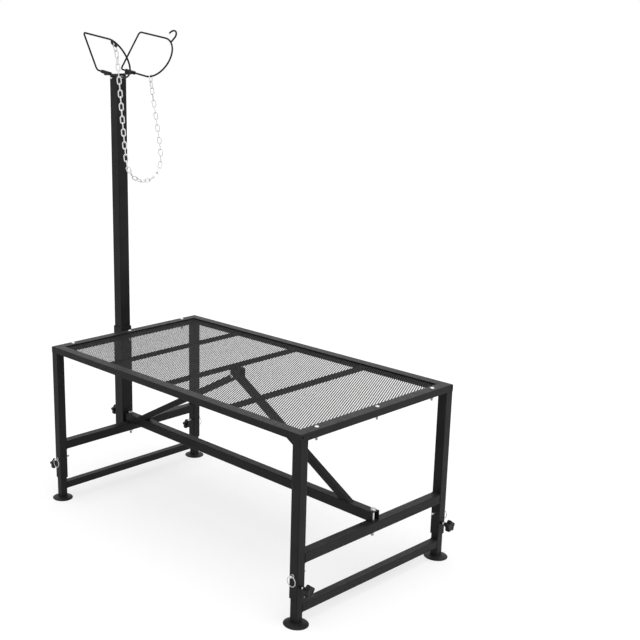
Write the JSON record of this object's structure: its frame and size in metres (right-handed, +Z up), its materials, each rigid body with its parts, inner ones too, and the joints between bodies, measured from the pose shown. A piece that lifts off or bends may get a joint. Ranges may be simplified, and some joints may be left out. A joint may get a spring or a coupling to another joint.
{
  "type": "livestock grooming stand",
  "caption": "Mesh deck on sliding square-tube legs, with a height-adjustable head post, hinged nose loops and chain, for grooming sheep and goats.",
  "frame": {"origin": "on the floor, under the middle of the stand with its knobs", "axes": "+Z up, -X towards the head post, -Y the stand's left side seen facing the head"},
  "size_m": [1.1784, 0.653, 1.4949],
  "materials": {
    "black_coat": "satin",
    "zinc": "satin",
    "knob_plastic": "matte"
  },
  "bodies": {
    "stand": {"rail_left": "black_coat", "rail_right": "black_coat", "rail_head": "black_coat", "rail_rear": "black_coat", "deck_mesh": "black_coat", "cross_member_head": "black_coat", "cross_member_mid": "black_coat", "cross_member_rear": "black_coat", "centre_bar": "black_coat", "apex_bracket": "black_coat", "apex_bolt": "zinc", "post_sleeve": "black_coat", "top_bar_head": "black_coat", "crossbar_head": "black_coat", "bar_bolt_head": "zinc", "brace_head": "black_coat", "deck_bolt_head_left": "zinc", "deck_bolt_head_mid": "zinc", "deck_bolt_head_right": "zinc", "outer_leg_head_left": "black_coat", "outer_leg_head_right": "black_coat", "top_bar_rear": "black_coat", "crossbar_rear": "black_coat", "bar_bolt_rear": "zinc", "brace_rear": "black_coat", "deck_bolt_rear_left": "zinc", "deck_bolt_rear_mid": "zinc", "deck_bolt_rear_right": "zinc", "outer_leg_rear_left": "black_coat", "outer_leg_rear_right": "black_coat"},
    "legs_head": {"lower_bar_head": "black_coat", "inner_leg_head_left": "black_coat", "foot_head_left": "black_coat", "inner_leg_head_right": "black_coat", "foot_head_right": "black_coat"},
    "knob_head_left": {"leg_knob_head_left": "knob_plastic"},
    "pin_head_left": {"lock_pin_head_left": "zinc"},
    "ring_head_left": {"pull_ring_head_left": "zinc"},
    "knob_head_right": {"leg_knob_head_right": "knob_plastic"},
    "pin_head_right": {"lock_pin_head_right": "zinc"},
    "ring_head_right": {"pull_ring_head_right": "zinc"},
    "legs_rear": {"lower_bar_rear": "black_coat", "inner_leg_rear_left": "black_coat", "foot_rear_left": "black_coat", "inner_leg_rear_right": "black_coat", "foot_rear_right": "black_coat"},
    "knob_rear_left": {"leg_knob_rear_left": "knob_plastic"},
    "pin_rear_left": {"lock_pin_rear_left": "zinc"},
    "ring_rear_left": {"pull_ring_rear_left": "zinc"},
    "knob_rear_right": {"leg_knob_rear_right": "knob_plastic"},
    "pin_rear_right": {"lock_pin_rear_right": "zinc"},
    "ring_rear_right": {"pull_ring_rear_right": "zinc"},
    "post": {"head_post": "black_coat", "head_plate": "black_coat", "plate_screw_front": "zinc", "plate_screw_side": "zinc", "chain": "zinc"},
    "knob_post": {"post_knob": "knob_plastic"},
    "loop_left": {"nose_loop_left": "black_coat"},
    "loop_right": {"nose_loop_right": "black_coat"}
  },
  "joints": [
    {"name": "legs_head_slide", "type": "slide", "parent": "stand", "child": "legs_head", "axis": [0, 0, -1], "range_m": [0, 0.15]},
    {"name": "knob_head_left_turn", "type": "hinge", "parent": "stand", "child": "knob_head_left", "pos_m": [-0.51135, -0.2932, 0.1085], "axis": [-1, 0, 0], "continuous": true},
    {"name": "pin_head_left_pull", "type": "slide", "parent": "stand", "child": "pin_head_left", "axis": [0, -1, 0], "range_m": [0, 0.05]},
    {"name": "ring_head_left_swing", "type": "hinge", "parent": "pin_head_left", "child": "ring_head_left", "pos_m": [-0.49735, -0.3147, 0.14], "axis": [-1, 0, 0], "range_deg": [-12, 95]},
    {"name": "knob_head_right_turn", "type": "hinge", "parent": "stand", "child": "knob_head_right", "pos_m": [-0.51135, 0.2932, 0.1085], "axis": [-1, 0, 0], "continuous": true},
    {"name": "pin_head_right_pull", "type": "slide", "parent": "stand", "child": "pin_head_right", "axis": [0, 1, 0], "range_m": [0, 0.05]},
    {"name": "ring_head_right_swing", "type": "hinge", "parent": "pin_head_right", "child": "ring_head_right", "pos_m": [-0.49735, 0.3147, 0.14], "axis": [1, 0, 0], "range_deg": [-12, 95]},
    {"name": "legs_rear_slide", "type": "slide", "parent": "stand", "child": "legs_rear", "axis": [0, 0, -1], "range_m": [0, 0.15]},
    {"name": "knob_rear_left_turn", "type": "hinge", "parent": "stand", "child": "knob_rear_left", "pos_m": [0.55565, -0.2932, 0.1085], "axis": [1, 0, 0], "continuous": true},
    {"name": "pin_rear_left_pull", "type": "slide", "parent": "stand", "child": "pin_rear_left", "axis": [0, -1, 0], "range_m": [0, 0.05]},
    {"name": "ring_rear_left_swing", "type": "hinge", "parent": "pin_rear_left", "child": "ring_rear_left", "pos_m": [0.54165, -0.3147, 0.14], "axis": [-1, 0, 0], "range_deg": [-12, 95]},
    {"name": "knob_rear_right_turn", "type": "hinge", "parent": "stand", "child": "knob_rear_right", "pos_m": [0.55565, 0.2932, 0.1085], "axis": [1, 0, 0], "continuous": true},
    {"name": "pin_rear_right_pull", "type": "slide", "parent": "stand", "child": "pin_rear_right", "axis": [0, 1, 0], "range_m": [0, 0.05]},
    {"name": "ring_rear_right_swing", "type": "hinge", "parent": "pin_rear_right", "child": "ring_rear_right", "pos_m": [0.54165, 0.3147, 0.14], "axis": [1, 0, 0], "range_deg": [-12, 95]},
    {"name": "post_slide", "type": "slide", "parent": "stand", "child": "post", "axis": [0, 0, 1], "range_m": [-0.1, 0.2]},
    {"name": "knob_post_turn", "type": "hinge", "parent": "stand", "child": "knob_post", "pos_m": [-0.55565, 0, 0.2195], "axis": [-1, 0, 0], "continuous": true},
    {"name": "loop_left_turn", "type": "hinge", "parent": "post", "child": "loop_left", "pos_m": [-0.53165, -0.0487, 1.3684], "axis": [0.9854, 0, -0.1702], "range_deg": [-30, 55], "deforming": ["chain"]},
    {"name": "loop_right_turn", "type": "hinge", "parent": "post", "child": "loop_right", "pos_m": [-0.53165, 0.0487, 1.3684], "axis": [-0.9854, 0, 0.1702], "range_deg": [-30, 55], "deforming": ["chain"]}
  ]
}
